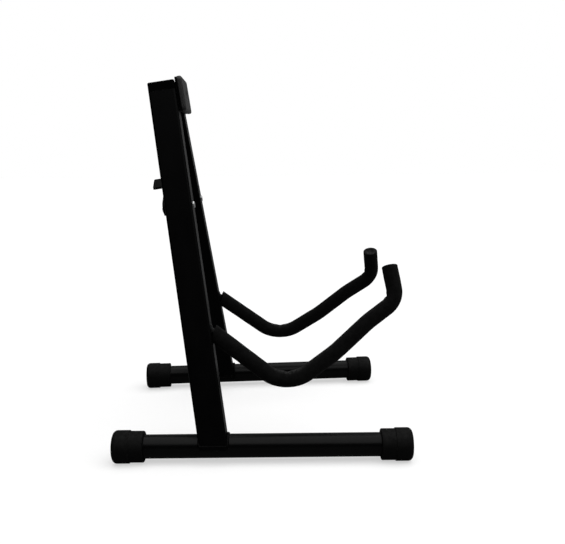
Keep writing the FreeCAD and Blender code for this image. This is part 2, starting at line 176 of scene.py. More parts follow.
def only_verts(made: Iterable) -> list[BMVert]:
    """Pick the vertices out of what an operator made."""
    return [item for item in made if isinstance(item, BMVert)]


def loop_edges(verts: Iterable[BMVert]) -> list[BMEdge]:
    """List the edges that join the given vertices to each other, in a steady order.

    Args:
        verts: The vertices.

    Returns:
        Their edges.
    """
    chosen = dict.fromkeys(verts)
    edges = [edge for vert in chosen for edge in vert.link_edges]
    return [edge for edge in dict.fromkeys(edges) if all(end in chosen for end in edge.verts)]


def rounded(bm: BMesh, geom: Sequence, size: float, segments: int, affect: str = "EDGES") -> None:
    """Round off edges or corners.

    Args:
        bm: The mesh.
        geom: The edges, or the vertices at the corners.
        size: How far the round reaches.
        segments: How many steps the round takes.
        affect: EDGES or VERTICES.
    """
    bmesh.ops.bevel(
        bm, geom=geom, offset=size, offset_type="OFFSET", segments=segments,
        profile=0.5, affect=affect, material=-1,
    )


def edges_at(bm: BMesh, depth: float) -> list[BMEdge]:
    """List the edges that lie at one depth."""
    return [edge for edge in bm.edges if all(abs(v.co.y - depth) < MERGE_DISTANCE for v in edge.verts)]


def cut_away(bm: BMesh, point: Vector, normal: Vector) -> None:
    """Cut a closed mesh with a plane and close the cut.

    Args:
        bm: The mesh.
        point: A point on the plane.
        normal: Points towards the side that is thrown away.
    """
    whole = bm.verts[:] + bm.edges[:] + bm.faces[:]
    cut = bmesh.ops.bisect_plane(
        bm, geom=whole, plane_co=point, plane_no=normal, clear_outer=True, dist=MERGE_DISTANCE
    )
    rim = [item for item in cut["geom_cut"] if isinstance(item, BMEdge)]
    bmesh.ops.triangle_fill(bm, edges=rim, use_beauty=True, normal=normal)


def finished(bm: BMesh, name: str, place: Matrix, sharp_deg: float = 38.0) -> bpy.types.Object:
    """Put a worked mesh in its place and make it an object.

    Args:
        bm: The mesh, which is used up.
        name: The piece's name.
        place: The matrix from the mesh's frame to the row frame.
        sharp_deg: Edges that turn by more than this stay sharp.

    Returns:
        The piece, at the origin, with its place in its mesh.
    """
    bmesh.ops.transform(bm, matrix=place, verts=bm.verts[:])
    bmesh.ops.remove_doubles(bm, verts=bm.verts[:], dist=MERGE_DISTANCE)
    bmesh.ops.recalc_face_normals(bm, faces=bm.faces[:])
    mesh = bpy.data.meshes.new(name)
    bm.to_mesh(mesh)
    bm.free()
    mesh.shade_smooth()
    mesh.set_sharp_from_angle(angle=math.radians(sharp_deg))
    piece = bpy.data.objects.new(name, mesh)
    bpy.context.scene.collection.objects.link(piece)
    return piece


def voxel_skin(bm: BMesh, voxel: float, rounds: int) -> BMesh:
    """Melt overlapping closed lumps into one closed skin of even quads, and smooth it.

    Args:
        bm: The lumps, which are used up.
        voxel: The size of a quad.
        rounds: How many times the skin is smoothed.

    Returns:
        The skin.
    """
    mesh = bpy.data.meshes.new("lumps")
    bm.to_mesh(mesh)
    bm.free()
    lumps = bpy.data.objects.new("lumps", mesh)
    bpy.context.scene.collection.objects.link(lumps)
    remesh = lumps.modifiers.new("skin", "REMESH")
    remesh.mode = "VOXEL"
    remesh.voxel_size = voxel
    depsgraph = bpy.context.evaluated_depsgraph_get()
    skin = bmesh.new()
    skin.from_object(lumps, depsgraph)
    bpy.data.objects.remove(lumps)
    bpy.data.meshes.remove(mesh)
    for _ in range(rounds):
        bmesh.ops.smooth_vert(
            skin, verts=skin.verts[:], factor=0.5, use_axis_x=True, use_axis_y=True, use_axis_z=True
        )
    return skin


@dataclass(frozen=True)
class Corner:
    """A corner of a route, or of a turned profile."""

    place: Vector
    rounding: float = 0.0


def turned(profile: Sequence[Corner], steps: int) -> BMesh:
    """Turn a closed profile round the Z axis.

    Args:
        profile: Corners as (radius, 0, height), each with its rounding.
        steps: How many steps the full turn takes.

    Returns:
        The closed body of revolution.
    """
    bm = bmesh.new()
    verts = [bm.verts.new(corner.place) for corner in profile]
    bm.faces.new(verts)
    for vert, corner in zip(verts, profile):
        if corner.rounding > 0:
            rounded(bm, [vert], corner.rounding, ROUND_SEGMENTS, "VERTICES")
    bmesh.ops.delete(bm, geom=bm.faces[:], context="FACES_ONLY")
    bmesh.ops.spin(
        bm, geom=bm.verts[:] + bm.edges[:], cent=(0, 0, 0), axis=(0, 0, 1), dvec=(0, 0, 0),
        angle=math.tau, steps=steps, use_merge=True, use_duplicate=False,
    )
    bmesh.ops.remove_doubles(bm, verts=bm.verts[:], dist=MERGE_DISTANCE)
    return bm


@dataclass
class Ring:
    """One station of a swept tube: its inside is the way to the centre of the bend there."""

    verts: list[BMVert]
    centre: Vector
    inside: Vector
    curvature: float
    along: float


@dataclass
class SweptTube:
    """A ring of edges drawn along straight runs and tangent bends."""

    bm: BMesh
    start: Vector
    heading: Vector
    radius: float
    sides: int
    step: float
    rings: list[Ring] = field(default_factory=list)

    def __post_init__(self) -> None:
        """Draw the first ring."""
        turn = self.heading.to_track_quat("Z", "X").to_matrix().to_4x4()
        made = bmesh.ops.create_circle(
            self.bm, segments=self.sides, radius=self.radius, matrix=Matrix.Translation(self.start) @ turn
        )
        self.rings.append(Ring(made["verts"], self.start.copy(), Vector(), 0.0, 0.0))

    def edges(self) -> list[BMEdge]:
        """List the newest ring's edges."""
        return loop_edges(self.rings[-1].verts)

    def extruded(self) -> list[BMVert]:
        """Extrude the newest ring, still in place, and list the new vertices."""
        return only_verts(bmesh.ops.extrude_edge_only(self.bm, edges=self.edges())["geom"])

    def add_ring(self, verts: list[BMVert], centre: Vector, inside: Vector, curvature: float) -> None:
        """Keep the ring that has just been made.

        Args:
            verts: The ring's vertices.
            centre: The ring's centre.
            inside: The way to the centre of the bend, or nothing on a straight run.
            curvature: One over the bend's radius, or nothing on a straight run.
        """
        last = self.rings[-1]
        along = last.along + (centre - last.centre).length
        self.rings.append(Ring(verts, centre, inside, curvature, along))

    def run(self, length: float) -> None:
        """Draw the ring straight on.

        Args:
            length: How far.
        """
        count = max(1, round(length / self.step))
        shift = self.heading * (length / count)
        for _ in range(count):
            centre = self.rings[-1].centre + shift
            verts = self.extruded()
            bmesh.ops.translate(self.bm, vec=shift, verts=verts)
            self.add_ring(verts, centre, Vector(), 0.0)

    def bend(self, towards: Vector, radius: float) -> None:
        """Draw the ring round a tangent bend.

        Args:
            towards: The heading that the bend ends on.
            radius: The bend's radius.
        """
        angle = self.heading.angle(towards)
        axis = self.heading.cross(towards).normalized()
        pivot = self.rings[-1].centre + axis.cross(self.heading) * radius
        count = max(2, round(angle * radius / self.step))
        turn = Matrix.Rotation(angle / count, 3, axis)
        for _ in range(count):
            last = self.rings[-1]
            centre = pivot + turn @ (last.centre - pivot)
            made = bmesh.ops.spin(
                self.bm, geom=self.edges(), cent=pivot, axis=axis, dvec=(0, 0, 0),
                angle=angle / count, steps=1, use_merge=False, use_duplicate=False,
            )["geom_last"]
            self.add_ring(only_verts(made), centre, (pivot - centre).normalized(), 1 / radius)
        self.heading = towards.normalized()

    def shrink(self, radius: float, advance: float) -> None:
        """Draw the ring on a little and give it another radius, to close an end in steps.

        Args:
            radius: The new radius.
            advance: How far on.
        """
        last = self.rings[-1]
        centre = last.centre + self.heading * advance
        verts = self.extruded()
        for vert in verts:
            spoke = vert.co - last.centre
            vert.co = centre + spoke.normalized() * radius
        self.add_ring(verts, centre, Vector(), 0.0)

    def close(self) -> None:
        """Fill the newest ring."""
        bmesh.ops.edgeloop_fill(self.bm, edges=self.edges())

    def follow(self, corners: Sequence[Corner], short_of_end: float) -> None:
        """Draw the ring along a route, from its first corner.

        Args:
            corners: The route, with the radius of the bend at each inner corner.
            short_of_end: How much of the last run is left out.
        """
        cursor = corners[0].place
        for corner, after in zip(corners[1:], corners[2:]):
            towards = (after.place - corner.place).normalized()
            setback = corner.rounding * math.tan(self.heading.angle(towards) / 2)
            self.run((corner.place - cursor).length - setback)
            self.bend(towards, corner.rounding)
            cursor = corner.place + towards * setback
        self.run((corners[-1].place - cursor).length - short_of_end)


# ---------------------------------------------------------------- node work that the finishes share


class Tree:
    """A node tree with short ways to add nodes and join them."""

    NOISE_LOW = 0.3
    NOISE_HIGH = 0.7

    def __init__(self, tree: bpy.types.NodeTree) -> None:
        """Take the tree to work on."""
        self.tree = tree

    def add(self, kind: str, inputs: dict | None = None, **settings: object) -> bpy.types.Node:
        """Add a node.

        Args:
            kind: The node's type.
            inputs: Values or sockets for its inputs, by name or number.
            settings: The node's own settings.

        Returns:
            The node.
        """
        node = self.tree.nodes.new(kind)
        for key, value in settings.items():
            setattr(node, key, value)
        for key, value in (inputs or {}).items():
            if isinstance(value, Socket):
                self.tree.links.new(value, node.inputs[key])
            else:
                node.inputs[key].default_value = value
        return node

    def object_point(self) -> Socket:
        """Give the socket of the object coordinates."""
        return self.add("ShaderNodeTexCoord").outputs["Object"]

    def noise(self, scale: Value, detail: float, point: Socket | None = None) -> Socket:
        """Add a noise texture on the object coordinates, and give its value."""
        inputs = {"Vector": point or self.object_point(), "Scale": scale, "Detail": detail}
        return self.add("ShaderNodeTexNoise", inputs).outputs[0]

    def remap(self, value: Value, low: Value, high: Value, to_low: Value = 0.0,
              to_high: Value = 1.0) -> Socket:
        """Map a value from one range to another, clamped."""
        inputs = {"Value": value, "From Min": low, "From Max": high, "To Min": to_low, "To Max": to_high}
        return self.add("ShaderNodeMapRange", inputs).outputs[0]

    def stretched(self, value: Value, to_low: Value = 0.0, to_high: Value = 1.0) -> Socket:
        """Map a noise, whose values keep near the middle, to a whole range."""
        return self.remap(value, self.NOISE_LOW, self.NOISE_HIGH, to_low, to_high)

    def math(self, operation: str, first: Value, second: Value) -> Socket:
        """Combine two values."""
        return self.add("ShaderNodeMath", {0: first, 1: second}, operation=operation).outputs[0]

    def mix(self, factor: Value, first: Value, second: Value) -> Socket:
        """Mix two colours, whose sockets have these numbers on the node."""
        node = self.add("ShaderNodeMix", {0: factor, 6: first, 7: second}, data_type="RGBA")
        return node.outputs[2]

    def bump(self, height: Socket, distance: float) -> Socket:
        """Turn a height into a normal."""
        inputs = {"Height": height, "Distance": distance, "Strength": 1.0}
        return self.add("ShaderNodeBump", inputs).outputs[0]


def rgba(colour: Colour, strength: float = 1.0) -> Rgba:
    """Give a colour its alpha, and another strength if asked to."""
    return (*(strength * channel for channel in colour), 1.0)


class Effect(ABC):
    """An effect that several finishes share, as one shader node group."""

    name: ClassVar[str]
    inputs: ClassVar[dict[str, float]]
    outputs: ClassVar[tuple[str, ...]]

    @classmethod
    @functools.cache
    def group(cls) -> bpy.types.NodeTree:
        """Build the group the first time it is wanted.

        Returns:
            The group's node tree.
        """
        tree = bpy.data.node_groups.new(cls.name, "ShaderNodeTree")
        for name, value in cls.inputs.items():
            socket = tree.interface.new_socket(name, in_out="INPUT", socket_type="NodeSocketFloat")
            socket.default_value = value
        for name in cls.outputs:
            tree.interface.new_socket(name, in_out="OUTPUT", socket_type="NodeSocketFloat")
        work = Tree(tree)
        given = work.add("NodeGroupInput").outputs
        work.add("NodeGroupOutput", cls.wire(work, given))
        return tree

    @classmethod
    def place(cls, tree: Tree, **values: float) -> Sockets:
        """Put the group in a material.

        Args:
            tree: The material's tree.
            values: The group's inputs, with underscores for spaces.

        Returns:
            The group node's outputs.
        """
        node = tree.add("ShaderNodeGroup", node_tree=cls.group())
        for key, value in values.items():
            node.inputs[key.replace("_", " ").title()].default_value = value
        return node.outputs

    @classmethod
    @abstractmethod
    def wire(cls, tree: Tree, given: Sockets) -> dict[str, Socket]:
        """Add the group's nodes.

        Args:
            tree: The group's tree.
            given: The group's own inputs, by name.

        Returns:
            The socket for each output, by name.
        """


class EdgeWear(Effect):
    """Broken-up rubbing along the edges of a piece.

    It starts, and is full, where the cosine of the angle between the true normal and the rounded one
    has the values named here.
    """

    name = "edge wear"
    inputs = {"Radius": 0.0008, "Coverage": 0.5, "Breakup": 500.0}
    outputs = ("Mask",)
    starts_at = 0.99
    full_at = 0.86
    softness = 0.14
    detail = 5.0

    @classmethod
    def wire(cls, tree: Tree, given: Sockets) -> dict[str, Socket]:
        """Compare the rounded normal with the true one, and break the line up with noise.

        Args:
            tree: The group's tree.
            given: The group's own inputs, by name.

        Returns:
            The socket for each output, by name.
        """
        rounded = tree.add("ShaderNodeBevel", {"Radius": given["Radius"]}, samples=6).outputs[0]
        true = tree.add("ShaderNodeNewGeometry").outputs["Normal"]
        agree = tree.add("ShaderNodeVectorMath", {0: rounded, 1: true}, operation="DOT_PRODUCT")
        edge = tree.remap(agree.outputs["Value"], cls.starts_at, cls.full_at)
        bare = tree.math("SUBTRACT", 1.0, given["Coverage"])
        soft = tree.math("ADD", bare, cls.softness)
        spots = tree.remap(tree.noise(given["Breakup"], cls.detail), bare, soft)
        return {"Mask": tree.math("MULTIPLY", edge, spots)}


class Grain(Effect):
    """Fine surface relief, with broad patches that differ a little in gloss."""

    name = "grain"
    inputs = {"Scale": 1500.0, "Patch Scale": 45.0}
    outputs = ("Height", "Patches")
    fine_detail = 4.0
    broad_detail = 2.0

    @classmethod
    def wire(cls, tree: Tree, given: Sockets) -> dict[str, Socket]:
        """Lay a fine noise over a broad one.

        Args:
            tree: The group's tree.
            given: The group's own inputs, by name.

        Returns:
            The socket for each output, by name.
        """
        fine = tree.noise(given["Scale"], cls.fine_detail)
        broad = tree.noise(given["Patch Scale"], cls.broad_detail)
        return {"Height": fine, "Patches": tree.stretched(broad)}


class DustAndTopLight(Effect):
    """A thin film of dust on what faces up. On the foam the same mask is painted top light: it lightens the faces
    that point up, where the light falls.
    """

    name = "dust"
    inputs = {"Scale": 220.0, "Reach": 0.35}
    outputs = ("Mask",)
    detail = 6.0
    thin = 0.35
    thick = 0.75

    @classmethod
    def wire(cls, tree: Tree, given: Sockets) -> dict[str, Socket]:
        """Lighten by slope, in uneven patches: dust, and on the foam painted top light.

        Args:
            tree: The group's tree.
            given: The group's own inputs, by name.

        Returns:
            The socket for each output, by name.
        """
        normal = tree.add("ShaderNodeNewGeometry").outputs["Normal"]
        slope = tree.add("ShaderNodeSeparateXYZ", {0: normal}).outputs[2]
        settled = tree.remap(slope, given["Reach"], 1.0)
        patches = tree.remap(tree.noise(given["Scale"], cls.detail), cls.thin, cls.thick)
        return {"Mask": tree.math("MULTIPLY", settled, patches)}


class Pores(Effect):
    """The open cells of a foam's skin. The finer noise and the mottling scale with the cells."""

    name = "pores"
    inputs = {"Scale": 1100.0}
    outputs = ("Height", "Shade")
    pit_bottom = 0.1
    pit_rim = 0.55
    fine_scale = 2.6
    fine_detail = 2.0
    fine_share = 0.6
    mottle_scale = 0.18
    mottle_detail = 3.0
    darkest_cell = 0.4

    @classmethod
    def wire(cls, tree: Tree, given: Sockets) -> dict[str, Socket]:
        """Make round cells of mixed size, roughened by a finer noise.

        Args:
            tree: The group's tree.
            given: The group's own inputs, by name.

        Returns:
            The socket for each output, by name.
        """
        point = tree.object_point()
        cells = tree.add("ShaderNodeTexVoronoi", {"Vector": point, "Scale": given["Scale"]})
        pits = tree.remap(cells.outputs["Distance"], cls.pit_bottom, cls.pit_rim)
        fine = tree.noise(tree.math("MULTIPLY", given["Scale"], cls.fine_scale), cls.fine_detail, point)
        height = tree.math("ADD", pits, tree.math("MULTIPLY", fine, cls.fine_share))
        cell_tone = tree.add("ShaderNodeSeparateColor", {0: cells.outputs["Color"]}).outputs[0]
        tone = tree.remap(cell_tone, 0.0, 1.0, cls.darkest_cell, 1.0)
        mottle_scale = tree.math("MULTIPLY", given["Scale"], cls.mottle_scale)
        mottle = tree.stretched(tree.noise(mottle_scale, cls.mottle_detail, point))
        return {"Height": height, "Shade": tree.math("MULTIPLY", tone, mottle)}


@dataclass(frozen=True)
class Finish(ABC):
    """A finish: its named numbers, and how its nodes are joined.

    The colour is up to patch_tint times as strong in patches, and the roughness up to spread higher.
    """

    name: str
    slot: Slot
    colour: Colour
    roughness: float
    specular: float
    patch_tint: float = 1.0
    spread: float = 0.1

    @functools.cache
    def material(self) -> bpy.types.Material:
        """Build the finish's material the first time it is wanted.

        Returns:
            The material.
        """
        made = bpy.data.materials.new(self.name)
        made.use_nodes = True
        tree = Tree(made.node_tree)
        made.node_tree.nodes.clear()
        shader = tree.add("ShaderNodeBsdfPrincipled", {"Specular IOR Level": self.specular})
        tree.add("ShaderNodeOutputMaterial", {"Surface": shader.outputs[0]})
        for name, socket in self.wire(tree).items():
            tree.tree.links.new(socket, shader.inputs[name])
        for name, value in self.constants().items():
            shader.inputs[name].default_value = value
        return made

    def constants(self) -> dict[str, float]:
        """Give what is the same all over the surface."""
        return {}

    @abstractmethod
    def wire(self, tree: Tree) -> dict[str, Socket]:
        """Add the nodes.

        Args:
            tree: The material's tree.

        Returns:
            The socket for each of the shader's inputs that varies, by name.
        """

    def patchy(self, tree: Tree, patches: Socket) -> Socket:
        """Vary the colour in patches."""
        return tree.mix(patches, rgba(self.colour), rgba(self.colour, self.patch_tint))

    def duller(self, tree: Tree, value: Socket) -> Socket:
        """Raise the roughness with a value."""
        return tree.remap(value, 0.0, 1.0, self.roughness, self.roughness + self.spread)

    def dress(self, piece: bpy.types.Object) -> None:
        """Give a piece this finish in every material slot that it has.

        Args:
            piece: The piece.
        """
        if not piece.material_slots:
            piece.data.materials.append(self.material())
        for slot in piece.material_slots:
            slot.material = self.material()


@dataclass(frozen=True)
class Paint(Finish):
    """Paint or powder coat on steel, rubbed through a little along the edges."""

    patch_tint: float = 1.35
    spread: float = 0.08
    peel_scale: float = 900.0
    peel_depth: float = 0.00002
    wear: float = 0.46
    wear_radius: float = 0.0007
    wear_colour: Colour = (0.06, 0.06, 0.062)
    wear_metal: float = 0.6
    dust_and_top_light_colour: Colour = (0.02, 0.0195, 0.018)
    dust_amount: float = 0.35
    dust_roughness: float = 0.25

    def wire(self, tree: Tree) -> dict[str, Socket]:
        """Join grain, rubbed edges and dust.

        Args:
            tree: The material's tree.

        Returns:
            The socket for each of the shader's inputs that varies, by name.
        """
        grain = Grain.place(tree, scale=self.peel_scale)
        worn = EdgeWear.place(tree, radius=self.wear_radius, coverage=self.wear)["Mask"]
        dust_and_top_light = tree.math("MULTIPLY", DustAndTopLight.place(tree)["Mask"], self.dust_amount)
        dusted = tree.mix(dust_and_top_light, self.patchy(tree, grain["Patches"]), rgba(self.dust_and_top_light_colour))
        clean = self.duller(tree, grain["Patches"])
        return {
            "Base Color": tree.mix(worn, dusted, rgba(self.wear_colour)),
            "Roughness": tree.math("ADD", clean, tree.math("MULTIPLY", dust_and_top_light, self.dust_roughness)),
            "Metallic": tree.math("MULTIPLY", worn, self.wear_metal),
            "Normal": tree.bump(grain["Height"], self.peel_depth),
        }


@dataclass(frozen=True)
class Rubber(Finish):
    """Moulded rubber: matt, finely grained, scuffed, with a little dust."""

    patch_tint: float = 1.5
    spread: float = 0.14
    grain_scale: float = 2200.0
    grain_depth: float = 0.00004
    scuff_colour: Colour = (0.018, 0.018, 0.0175)
    scuffs: float = 0.5
    dust_amount: float = 0.4

    def wire(self, tree: Tree) -> dict[str, Socket]:
        """Join grain, pale scuffs and dust.

        Args:
            tree: The material's tree.

        Returns:
            The socket for each of the shader's inputs that varies, by name.
        """
        grain = Grain.place(tree, scale=self.grain_scale, patch_scale=90.0)
        scuffed = EdgeWear.place(tree, radius=0.0012, coverage=self.scuffs, breakup=350.0)["Mask"]
        dust_and_top_light = DustAndTopLight.place(tree, scale=300.0, reach=0.1)["Mask"]
        pale = tree.math("MAXIMUM", scuffed, tree.math("MULTIPLY", dust_and_top_light, self.dust_amount))
        return {
            "Base Color": tree.mix(pale, self.patchy(tree, grain["Patches"]), rgba(self.scuff_colour)),
            "Roughness": self.duller(tree, grain["Patches"]),
            "Normal": tree.bump(grain["Height"], self.grain_depth),
        }


@dataclass(frozen=True)
class Foam(Finish):
    """Black foam with a fine, open skin. It is rougher where the pores are dark. Faces that point up are lightened
    with painted top light, laid on as dust.
    """

    spread: float = 0.08
    deep_colour: Colour = (0.001, 0.001, 0.001)
    # Painted top light: faces that point up are lightened to this colour, laid on as dust.
    dust_and_top_light_colour: Colour = (0.036, 0.036, 0.0355)
    pore_scale: float = 1100.0
    pore_depth: float = 0.0001
    sheen: float = 0.015
    sheen_roughness: float = 0.6

    def constants(self) -> dict[str, float]:
        """Give the soft sheen of the skin."""
        return {"Sheen Weight": self.sheen, "Sheen Roughness": self.sheen_roughness}

    def wire(self, tree: Tree) -> dict[str, Socket]:
        """Join pores, mottling, and dust that is painted top light on faces that point up.

        Args:
            tree: The material's tree.

        Returns:
            The socket for each of the shader's inputs that varies, by name.
        """
        pores = Pores.place(tree, scale=self.pore_scale)
        # This mask lightens faces that point up: painted top light, laid on as dust.
        dust_and_top_light = DustAndTopLight.place(tree, scale=500.0, reach=0.75)["Mask"]
        tone = tree.mix(pores["Shade"], rgba(self.deep_colour), rgba(self.colour))
        roughest = self.roughness + self.spread
        return {
            "Base Color": tree.mix(dust_and_top_light, tone, rgba(self.dust_and_top_light_colour)),
            "Roughness": tree.remap(pores["Shade"], 0.0, 1.0, roughest, self.roughness),
            "Normal": tree.bump(pores["Height"], self.pore_depth),
        }


@dataclass(frozen=True)
class Plastic(Finish):
    """Moulded black plastic with a spark-eroded grain."""

    patch_tint: float = 1.4
    spread: float = 0.12
    pale_colour: Colour = (0.03, 0.03, 0.03)
    grain_scale: float = 3000.0
    grain_depth: float = 0.00003

    def wire(self, tree: Tree) -> dict[str, Socket]:
        """Join grain and pale edges.

        Args:
            tree: The material's tree.

        Returns:
            The socket for each of the shader's inputs that varies, by name.
        """
        grain = Grain.place(tree, scale=self.grain_scale, patch_scale=120.0)
        pale = EdgeWear.place(tree, radius=0.0005, coverage=0.45, breakup=900.0)["Mask"]
        return {
            "Base Color": tree.mix(pale, self.patchy(tree, grain["Patches"]), rgba(self.pale_colour)),
            "Roughness": tree.stretched(grain["Height"], self.roughness, self.roughness + self.spread),
            "Normal": tree.bump(grain["Height"], self.grain_depth),
        }


@dataclass(frozen=True)
class Zinc(Finish):
    """Bright zinc plate, spangled and slightly dulled in patches."""

    spread: float = 0.18
    dull_colour: Colour = (0.36, 0.37, 0.37)
    polished_colour: Colour = (0.78, 0.78, 0.77)
    polish: float = 0.12
    spangle_scale: float = 900.0
    spangle_depth: float = 0.00001

    def constants(self) -> dict[str, float]:
        """Say that it is bare metal."""
        return {"Metallic": 1.0}

    def wire(self, tree: Tree) -> dict[str, Socket]:
        """Join spangles, dull patches and polished edges.

        Args:
            tree: The material's tree.

        Returns:
            The socket for each of the shader's inputs that varies, by name.
        """
        grain = Grain.place(tree, scale=self.spangle_scale, patch_scale=400.0)
        polished = EdgeWear.place(tree, radius=0.0004, coverage=0.6, breakup=1200.0)["Mask"]
        tone = tree.mix(grain["Patches"], rgba(self.dull_colour), rgba(self.colour))
        rough = tree.stretched(grain["Height"], self.roughness, self.roughness + self.spread)
        return {
            "Base Color": tree.mix(polished, tone, rgba(self.polished_colour)),
            "Roughness": tree.math("SUBTRACT", rough, tree.math("MULTIPLY", polished, self.polish)),
            "Normal": tree.bump(grain["Height"], self.spangle_depth),
        }


SATIN_BLACK = Paint("satin black powder coat", Slot.SATIN, (0.0007, 0.0007, 0.00075), 0.36, 0.03)
GLOSS_BLACK = Paint(
    "gloss black enamel", Slot.GLOSS, (0.001, 0.001, 0.00105), 0.27, 0.08, spread=0.03,
    peel_scale=500.0, peel_depth=0.000001, wear=0.4, dust_amount=0.12,
)
FOOT_RUBBER = Rubber("black foot rubber", Slot.RUBBER, (0.0013, 0.0013, 0.0013), 0.62, 0.07)
PAD_RUBBER = Rubber(
    "black pad rubber", Slot.RUBBER, (0.011, 0.011, 0.011), 0.52, 0.38,
    grain_scale=1600.0, grain_depth=0.00006, scuffs=0.42,
)
SLEEVE_FOAM = Foam("black sleeve foam", Slot.FOAM, (0.0034, 0.0034, 0.0034), 0.86, 0.06)
PLUG_PLASTIC = Plastic("black moulded plastic", Slot.PLASTIC, (0.0003, 0.0003, 0.0003), 0.55, 0.01)
ZINC_PLATE = Zinc("zinc plate", Slot.ZINC, (0.62, 0.63, 0.63), 0.26, 0.5)
FINISH_OF_SLOT = {
    finish.slot.value: finish
    for finish in (SATIN_BLACK, GLOSS_BLACK, FOOT_RUBBER, SLEEVE_FOAM, PLUG_PLASTIC, ZINC_PLATE)
}


# ---------------------------------------------------------------- the pieces


@dataclass(frozen=True)
class ArmBend:
    """A corner of the arm, in the leg's frame, in millimetres."""

    forwards: float
    below_hinge: float
    radius: float


@dataclass
class FoamSleeve:
    """The foam sleeve on one arm's rod. Sizes in millimetres."""

    side: Side
    bends: tuple[ArmBend, ...] = (
        ArmBend(15.0, 260.7, 0.0),
        ArmBend(84.9, 332.7, 39.0),
        ArmBend(143.3, 302.9, 150.0),
        ArmBend(183.4, 276.2, 100.0),
        ArmBend(219.4, 257.0, 22.0),
        ArmBend(219.4, 218.2, 0.0),
    )
    leg_front: float = 15.0
    toe_in: float = 0.085
    tip_lean_in: float = 6.0
    radius: float = 8.95
    bore: float = 4.15
    weld_clearance: float = 2.3
    hidden_start: float = 13.5
    rod_short_of_tip: float = 5.8
    tip_rounding: float = 0.9
    tip_steps: int = 5
    end_ring: float = 3.6
    end_ring_steps: tuple[tuple[float, float], ...] = (
        (1.9, 0.025), (1.25, 0.05), (1.12, 0.225), (1.0, 0.25), (0.88, 0.05), (0.4, 0.0),
    )
    cut_slant_deg: float = 27.5
    cut_forwards: float = 23.0
    leg_gap: float = 0.15
    sides: int = 80
    step: float = 1.25
    tight_bend: float = 60.0
    crease_depth: float = 0.75
    crease_width: float = 3.2
    crease_sharpness: float = 3.0
    swell_away: float = 1.9
    swell_share: float = 0.45
    slimming: float = 0.25
    slimming_reach: float = 12.0
    unevenness: float = 0.09
    lump_size: float = 9.0
    lump_falloff: float = 0.8
    lump_spacing: float = 2.0
    lump_octaves: int = 3
    flare_end: float = 5.0
    flare_length: float = 3.0
    cut_sharp_deg: float = 50.0

    def route(self) -> list[Corner]:
        """Lay the arm's centre line out in the leg's frame.

        Returns:
            The corners, in metres, from a little inside the leg to the tip.
        """
        points = [
            Vector((-self.toe_in * (bend.forwards - self.leg_front), -bend.forwards, -bend.below_hinge))
            for bend in self.bends
        ]
        points[-1].x -= self.tip_lean_in
        points[0] += (points[0] - points[1]).normalized() * self.hidden_start
        return [Corner(point * MM, bend.radius * MM) for point, bend in zip(points, self.bends)]

    def sweep(self, bm: BMesh, radius: float, sides: int, short_of_end: float) -> SweptTube:
        """Draw a tube along the arm.

        Args:
            bm: The mesh to draw it in.
            radius: The tube's radius, in millimetres.
            sides: How many sides it has.
            short_of_end: How far short of the tip it ends, in millimetres.

        Returns:
            The tube, open at both ends.
        """
        route = self.route()
        heading = (route[1].place - route[0].place).normalized()
        tube = SweptTube(bm, route[0].place, heading, radius * MM, sides, self.step * MM)
        tube.follow(route, short_of_end * MM)
        return tube

    def round_tip(self, tube: SweptTube) -> None:
        """Close the sleeve's end: a rounded rim and a flat face with a moulded ring.

        The ring's steps say how large each circle is beside the ring, and how far it sinks.

        Args:
            tube: The sleeve's skin.
        """
        rounding = self.tip_rounding * MM
        radius = self.radius * MM
        reached = 0.0
        for step in range(1, self.tip_steps + 1):
            turn = math.radians(90 * step / self.tip_steps)
            height = rounding * math.sin(turn)
            tube.shrink(radius - rounding * (1 - math.cos(turn)), height - reached)
            reached = height
        for share, drop in self.end_ring_steps:
            tube.shrink(self.end_ring * share * MM, -drop * MM)
        tube.close()

    def soften(self, tube: SweptTube) -> None:
        """Crease the foam inside its tight bends, draw it in there, and make its skin uneven.

        Args:
            tube: The sleeve's skin.
        """
        tight = [ring for ring in tube.rings if ring.curvature * self.tight_bend * MM > 1]
        middles = self.bend_middles(tight)
        for ring in tube.rings:
            for vert in ring.verts:
                spoke = vert.co - ring.centre
                lumps = (self.lump_falloff, self.lump_spacing, self.lump_octaves)
                push = self.unevenness * noise.fractal(vert.co / (self.lump_size * MM), *lumps)
                for middle in middles:
                    facing = max(0.0, spoke.normalized().dot(middle.inside)) ** self.crease_sharpness
                    away = (ring.along - middle.along) / (self.crease_width * MM)
                    crease = math.exp(-away * away)
                    swell = self.swell_share * math.exp(-((abs(away) - self.swell_away) ** 2))
                    slim = self.slimming * math.exp(-away * away / self.slimming_reach)
                    push -= self.crease_depth * facing * (crease - swell) + slim
                vert.co = ring.centre + spoke * (1 + push / self.radius)

    @staticmethod
    def bend_middles(tight: Sequence[Ring]) -> list[Ring]:
        """Pick the middle ring of each tight bend.

        Args:
            tight: The rings in tight bends, in order along the tube.

        Returns:
            One ring for each bend.
        """
        groups: list[list[Ring]] = []
        for ring in tight:
            if groups and ring.curvature == groups[-1][-1].curvature:
                groups[-1].append(ring)
            else:
                groups.append([ring])
        return [group[len(group) // 2] for group in groups]

    def flare_bore(self, tube: SweptTube) -> None:
        """Widen the bore where it goes over the weld at the leg.

        Args:
            tube: The bore.
        """
        for ring in tube.rings:
            from_leg = -ring.centre.y / MM - self.leg_front
            share = min(1.0, max(0.0, (self.flare_end - from_leg) / self.flare_length))
            for vert in ring.verts:
                spoke = vert.co - ring.centre
                vert.co = ring.centre + spoke * (1 + share * self.weld_clearance / self.bore)

